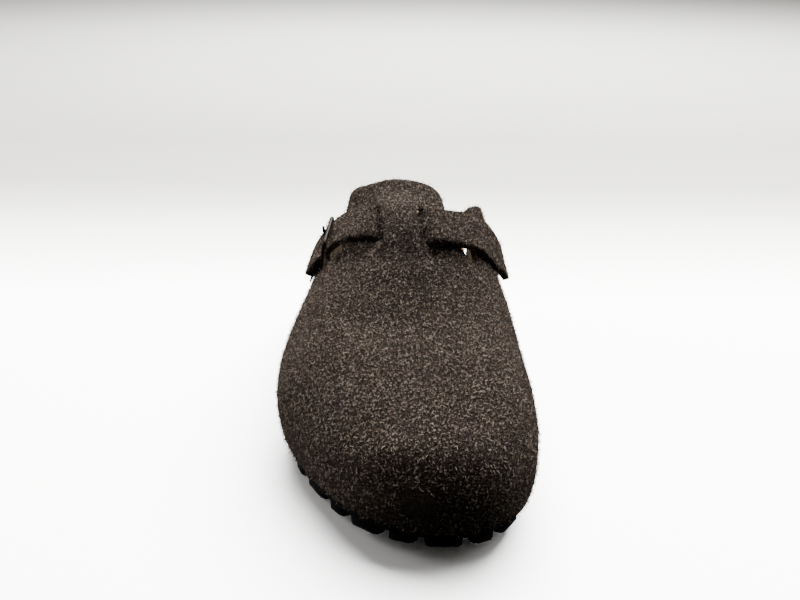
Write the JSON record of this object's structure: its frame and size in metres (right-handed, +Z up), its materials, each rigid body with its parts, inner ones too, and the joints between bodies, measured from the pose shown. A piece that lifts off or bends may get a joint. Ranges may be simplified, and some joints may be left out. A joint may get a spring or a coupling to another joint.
{
  "type": "clog slipper",
  "caption": "Open-back wool felt clog for the right foot with a buckled felt strap through two slits, on a cork footbed and a lugged foam outsole.",
  "frame": {"origin": "middle of the shoe's outline at the floor under the outsole", "axes": "+Z up, +Y towards the heel along the shoe's length, +X towards the inner side of the foot"},
  "size_m": [0.105, 0.277, 0.0985],
  "materials": {
    "wool_felt": "mottled dark brown wool felt with a short fuzz",
    "strap_felt": "mottled dark brown wool felt with a short fuzz",
    "tab_leather": "matt dark leather",
    "frame_metal": "satin nickel",
    "prong_metal": "satin nickel",
    "cork": "matt granular cork",
    "insole_suede": "napped cream suede",
    "sole_foam": "matt black foam rubber"
  },
  "bodies": {
    "root": {"upper": "wool_felt", "strap": "strap_felt", "buckle_tab": "tab_leather", "buckle_frame": "frame_metal", "buckle_prong": "prong_metal", "footbed": "cork", "insole": "insole_suede", "outsole": "sole_foam"}
  },
  "joints": []
}
